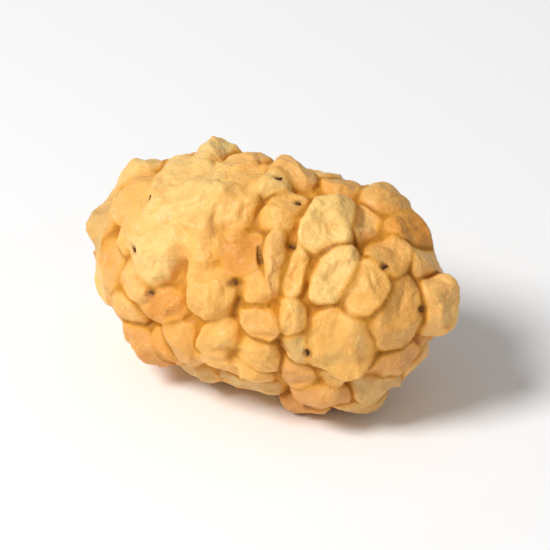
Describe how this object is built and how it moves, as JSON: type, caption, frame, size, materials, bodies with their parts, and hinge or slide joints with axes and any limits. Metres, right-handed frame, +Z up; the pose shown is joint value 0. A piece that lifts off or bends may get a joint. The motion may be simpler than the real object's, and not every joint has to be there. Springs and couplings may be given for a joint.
{
  "type": "dried white mulberry",
  "caption": "Dried white mulberry lying on its side: plump golden drupelets grown together round one core, with small dark stigma remains.",
  "frame": {"origin": "under the middle of the berry, on the surface that it rests on", "axes": "+X along the berry from its blunt stalk end to its tip, +Y across it, +Z up"},
  "size_m": [0.0222, 0.0132, 0.0128],
  "materials": {
    "skin": "dry, soft satin fruit skin, pale gold with orange creases"
  },
  "bodies": {
    "root": {"mulberry": "skin"}
  },
  "joints": []
}
